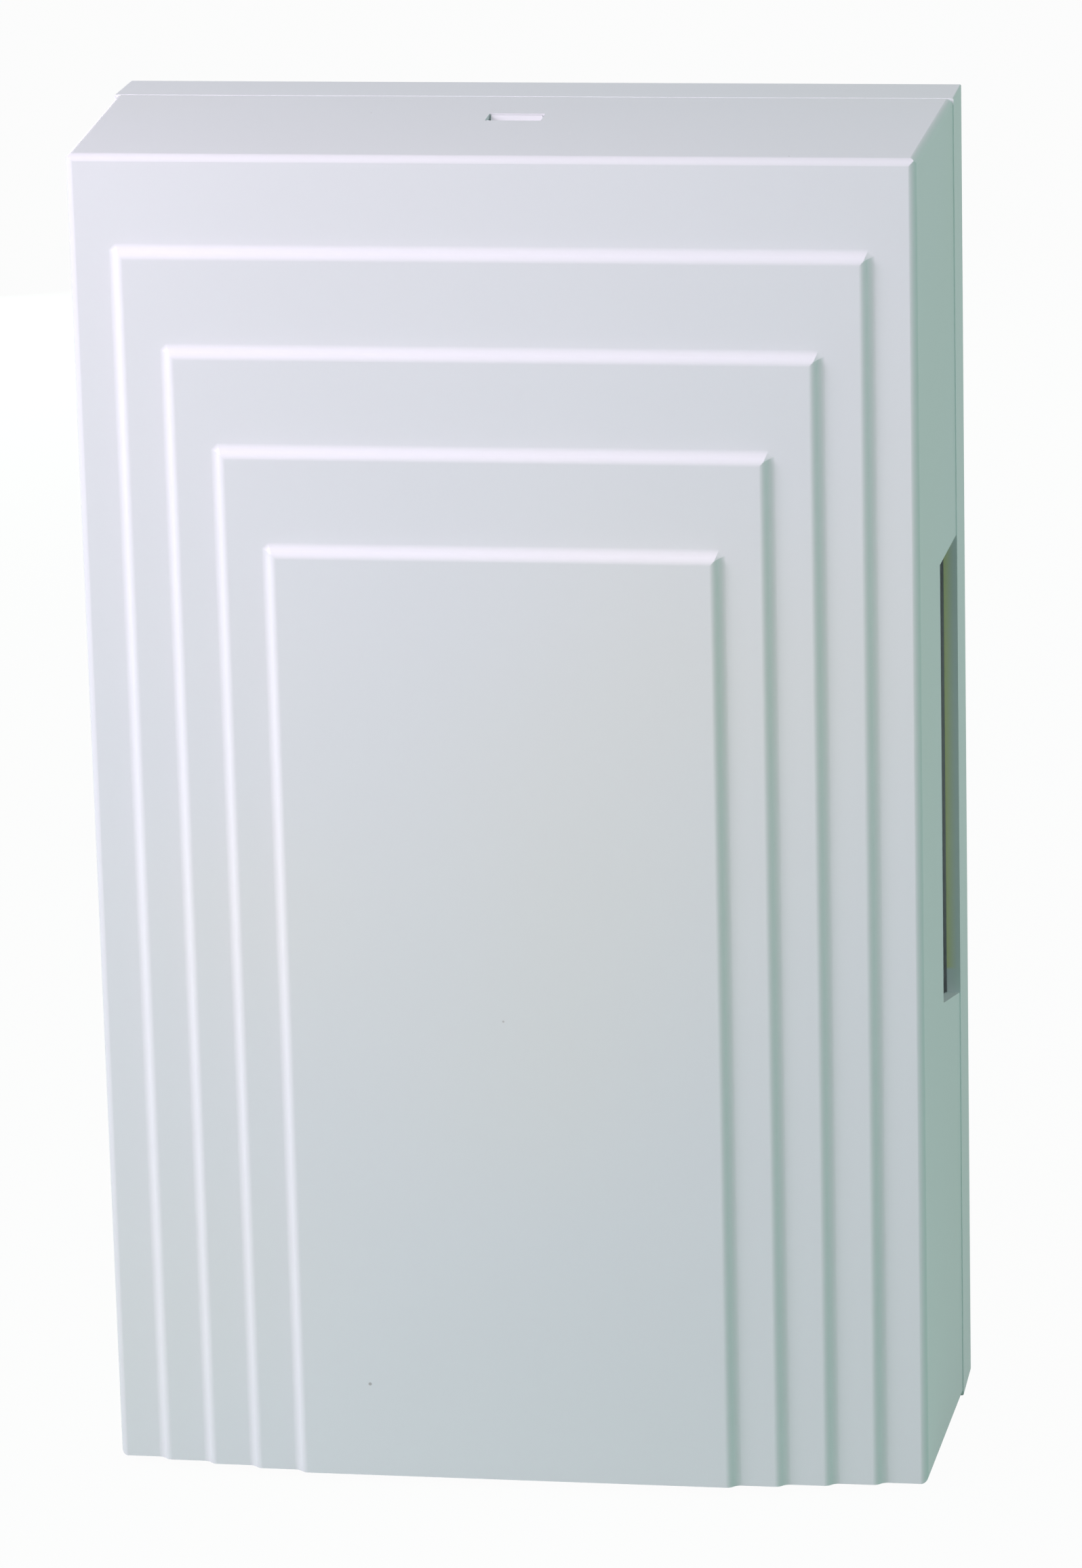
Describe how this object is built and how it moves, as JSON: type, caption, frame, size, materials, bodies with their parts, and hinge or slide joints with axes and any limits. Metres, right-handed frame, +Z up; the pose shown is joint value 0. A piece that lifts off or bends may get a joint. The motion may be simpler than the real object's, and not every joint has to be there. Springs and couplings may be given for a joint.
{
  "type": "doorbell chime box",
  "caption": "White wall-mounted wired door chime: stepped lift-off cover with side sound slots over a base that holds tone bars and sprung solenoid strikers.",
  "frame": {"origin": "middle of the base's back face, on the wall", "axes": "+Z up, +X to the right as seen from the room, +Y into the wall, so the front faces -Y"},
  "size_m": [0.122, 0.0545, 0.197],
  "materials": {
    "cover_plastic": "satin moulded white plastic",
    "base_plastic": "satin moulded white plastic",
    "bar_steel": "brushed tone bar steel",
    "zinc_steel": "zinc plated steel",
    "core_steel": "ground plunger steel",
    "spring_steel": "drawn spring wire",
    "copper_wire": "enamelled copper winding",
    "coil_tape": "yellow polyester tape",
    "nylon": "natural nylon",
    "grommet_rubber": "black rubber",
    "felt": "grey wool felt",
    "phenolic": "dark brown moulded phenolic",
    "terminal_brass": "plain brass",
    "red_lead": "red insulation",
    "white_lead": "white insulation",
    "blue_lead": "blue insulation"
  },
  "bodies": {
    "wall_base": {"base": "base_plastic", "cover_latch": "base_plastic", "low_tone_bar": "bar_steel", "high_tone_bar": "bar_steel", "low_upper_grommet": "grommet_rubber", "low_lower_grommet": "grommet_rubber", "high_upper_grommet": "grommet_rubber", "high_lower_grommet": "grommet_rubber", "bar_screws": "zinc_steel", "front_yoke": "zinc_steel", "front_bobbin": "nylon", "front_winding": "copper_wire", "front_tape": "coil_tape", "front_spring": "spring_steel", "rear_yoke": "zinc_steel", "rear_bobbin": "nylon", "rear_winding": "copper_wire", "rear_tape": "coil_tape", "rear_spring": "spring_steel", "felt_stop": "felt", "yoke_screws": "zinc_steel", "terminal_block": "phenolic", "block_screws": "zinc_steel", "front_terminal": "terminal_brass", "common_terminal": "terminal_brass", "rear_terminal": "terminal_brass", "clamp_plates": "terminal_brass", "terminal_screws": "zinc_steel", "front_lead": "red_lead", "front_common_lead": "white_lead", "rear_lead": "blue_lead", "rear_common_lead": "white_lead"},
    "cover": {"front_cover": "cover_plastic"},
    "front_striker": {"front_plunger": "core_steel", "front_low_striker": "nylon", "front_high_striker": "nylon", "front_spring_clip": "zinc_steel"},
    "rear_striker": {"rear_plunger": "core_steel", "rear_idle_striker": "nylon", "rear_high_striker": "nylon", "rear_spring_clip": "zinc_steel"}
  },
  "joints": [
    {"name": "cover_lift", "type": "slide", "parent": "wall_base", "child": "cover", "axis": [0, -1, 0], "range_m": [0, 0.075], "deforming": ["cover_latch"]},
    {"name": "front_plunger_slide", "type": "slide", "parent": "wall_base", "child": "front_striker", "axis": [1, 0, 0], "range_m": [-0.0029, 0.0039], "stiffness_N_per_m": 120, "deforming": ["front_spring"]},
    {"name": "rear_plunger_slide", "type": "slide", "parent": "wall_base", "child": "rear_striker", "axis": [1, 0, 0], "range_m": [0, 0.0039], "stiffness_N_per_m": 120, "deforming": ["rear_spring"]}
  ]
}
